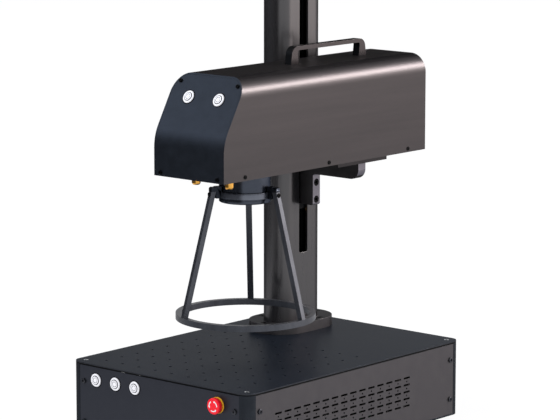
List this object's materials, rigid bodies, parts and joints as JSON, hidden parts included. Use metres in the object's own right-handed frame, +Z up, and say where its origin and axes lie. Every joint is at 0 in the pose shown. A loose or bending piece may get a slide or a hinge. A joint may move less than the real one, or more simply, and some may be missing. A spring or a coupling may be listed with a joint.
{
  "type": "laser marking machine",
  "caption": "Bench laser marking machine: cabinet with drilled worktable, slotted lift column, bracketed marking head with lens, and a legged guard ring around the beam",
  "frame": {"origin": "centre of the worktable's top face, on the cabinet", "axes": "+X to the operator's right, +Y to the rear, +Z up; the controls face -Y"},
  "size_m": [0.3216, 0.5067, 0.7148],
  "materials": {
    "dark_paint": "dark grey powder coat",
    "grey_paint": "warm grey powder coat",
    "table_anodised": "blasted and dark anodised",
    "black_anodised": "black anodised",
    "aluminium": "machined",
    "steel": "plated",
    "bright_metal": "polished",
    "guard_steel": "brushed",
    "brass": "turned",
    "black_screws": "blackened",
    "rubber": "matte",
    "black_plastic": "moulded",
    "red_plastic": "glossy",
    "yellow_plastic": "satin",
    "board": "solder mask",
    "mirror_glass": "coated",
    "coated_glass": "coated"
  },
  "bodies": {
    "base": {"bottom_plate": "dark_paint", "feet": "rubber", "corner_posts": "dark_paint", "front_panel": "dark_paint", "rear_panel": "dark_paint", "left_panel": "grey_paint", "right_panel": "grey_paint", "worktable": "table_anodised", "cabinet_screws": "steel", "column_base_plate": "steel", "laser_source": "aluminium", "power_supply": "aluminium", "control_board": "board", "fan_frame": "black_plastic", "power_inlet": "black_plastic", "switch_frame": "black_plastic", "pedal_socket": "bright_metal", "cabinet_gland": "black_plastic", "button_bezels": "bright_metal", "estop_collar": "yellow_plastic", "column_flange": "black_anodised", "flange_screws": "steel", "column": "black_anodised", "guide_rods": "bright_metal", "lower_bearing": "aluminium", "column_cap": "black_anodised"},
    "lift_screw": {"lead_screw": "bright_metal", "handwheel": "black_plastic"},
    "crank": {"crank_knob": "black_plastic"},
    "head": {"carriage": "aluminium", "lift_nut": "brass", "lift_bracket": "black_anodised", "head_plate": "aluminium", "head_floor": "aluminium", "head_cover": "grey_paint", "head_front": "dark_paint", "head_rear": "dark_paint", "head_screws": "black_screws", "carry_handle": "grey_paint", "head_gland": "black_plastic", "head_bezels": "bright_metal", "galvo_block": "aluminium", "beam_expander": "black_anodised", "laser_pointers": "brass", "lens_barrel": "black_anodised", "lens_glass": "coated_glass", "guard_collar": "guard_steel", "guard_frame": "guard_steel", "guard_screws": "black_screws"},
    "button_1": {"button_1": "bright_metal"},
    "button_2": {"button_2": "bright_metal"},
    "button_3": {"button_3": "bright_metal"},
    "head_button_left": {"head_button_left": "bright_metal"},
    "head_button_right": {"head_button_right": "bright_metal"},
    "estop_stem": {"estop_stem": "black_plastic"},
    "estop_head": {"estop_head": "red_plastic"},
    "fan_rotor": {"fan_rotor": "black_plastic"},
    "mirror_x": {"mirror_x": "mirror_glass"},
    "mirror_y": {"mirror_y": "mirror_glass"},
    "power_rocker": {"power_rocker": "red_plastic"}
  },
  "joints": [
    {"name": "lift_screw_turn", "type": "hinge", "parent": "base", "child": "lift_screw", "pos_m": [-0.079, 0.1377, 0.3], "axis": [0, 0, 1], "range_deg": [-10800, 3600]},
    {"name": "head_lift", "type": "slide", "parent": "base", "child": "head", "axis": [0, 0, 1], "range_m": [-0.05, 0.15]},
    {"name": "crank_turn", "type": "hinge", "parent": "lift_screw", "child": "crank", "pos_m": [-0.111, 0.1377, 0.58], "axis": [0, 0, 1], "continuous": true},
    {"name": "button_1_press", "type": "slide", "parent": "base", "child": "button_1", "axis": [0, 1, 0], "range_m": [0, 0.0012], "stiffness_N_per_m": 600, "springref_m": -0.0005},
    {"name": "button_2_press", "type": "slide", "parent": "base", "child": "button_2", "axis": [0, 1, 0], "range_m": [0, 0.0012], "stiffness_N_per_m": 600, "springref_m": -0.0005},
    {"name": "button_3_press", "type": "slide", "parent": "base", "child": "button_3", "axis": [0, 1, 0], "range_m": [0, 0.0012], "stiffness_N_per_m": 600, "springref_m": -0.0005},
    {"name": "head_button_left_press", "type": "slide", "parent": "head", "child": "head_button_left", "axis": [0, 0.866, -0.5], "range_m": [0, 0.0012], "stiffness_N_per_m": 600, "springref_m": -0.0005},
    {"name": "head_button_right_press", "type": "slide", "parent": "head", "child": "head_button_right", "axis": [0, 0.866, -0.5], "range_m": [0, 0.0012], "stiffness_N_per_m": 600, "springref_m": -0.0005},
    {"name": "estop_press", "type": "slide", "parent": "base", "child": "estop_stem", "axis": [0, 1, 0], "range_m": [0, 0.0025]},
    {"name": "estop_twist", "type": "hinge", "parent": "estop_stem", "child": "estop_head", "pos_m": [0.1065, -0.2305, -0.0213], "axis": [0, 1, 0], "range_deg": [0, 40], "stiffness_Nm_per_rad": 0.01},
    {"name": "fan_spin", "type": "hinge", "parent": "base", "child": "fan_rotor", "pos_m": [0.08999, 0.21, -0.054], "axis": [0, 1, 0], "continuous": true},
    {"name": "mirror_x_turn", "type": "hinge", "parent": "head", "child": "mirror_x", "pos_m": [0.04, -0.058, 0.311], "axis": [0, 0, 1], "range_deg": [-12, 12]},
    {"name": "mirror_y_turn", "type": "hinge", "parent": "head", "child": "mirror_y", "pos_m": [0.008, -0.058, 0.311], "axis": [0, 1, 0], "range_deg": [-12, 12]},
    {"name": "power_rocker_tilt", "type": "hinge", "parent": "base", "child": "power_rocker", "pos_m": [-0.04007, 0.2231, -0.062], "axis": [0, 0, 1], "range_deg": [-9, 9]}
  ],
  "couplings": [
    {"joint": "head_lift", "follows": "lift_screw_turn", "m_per_rad": -0.00079577}
  ]
}
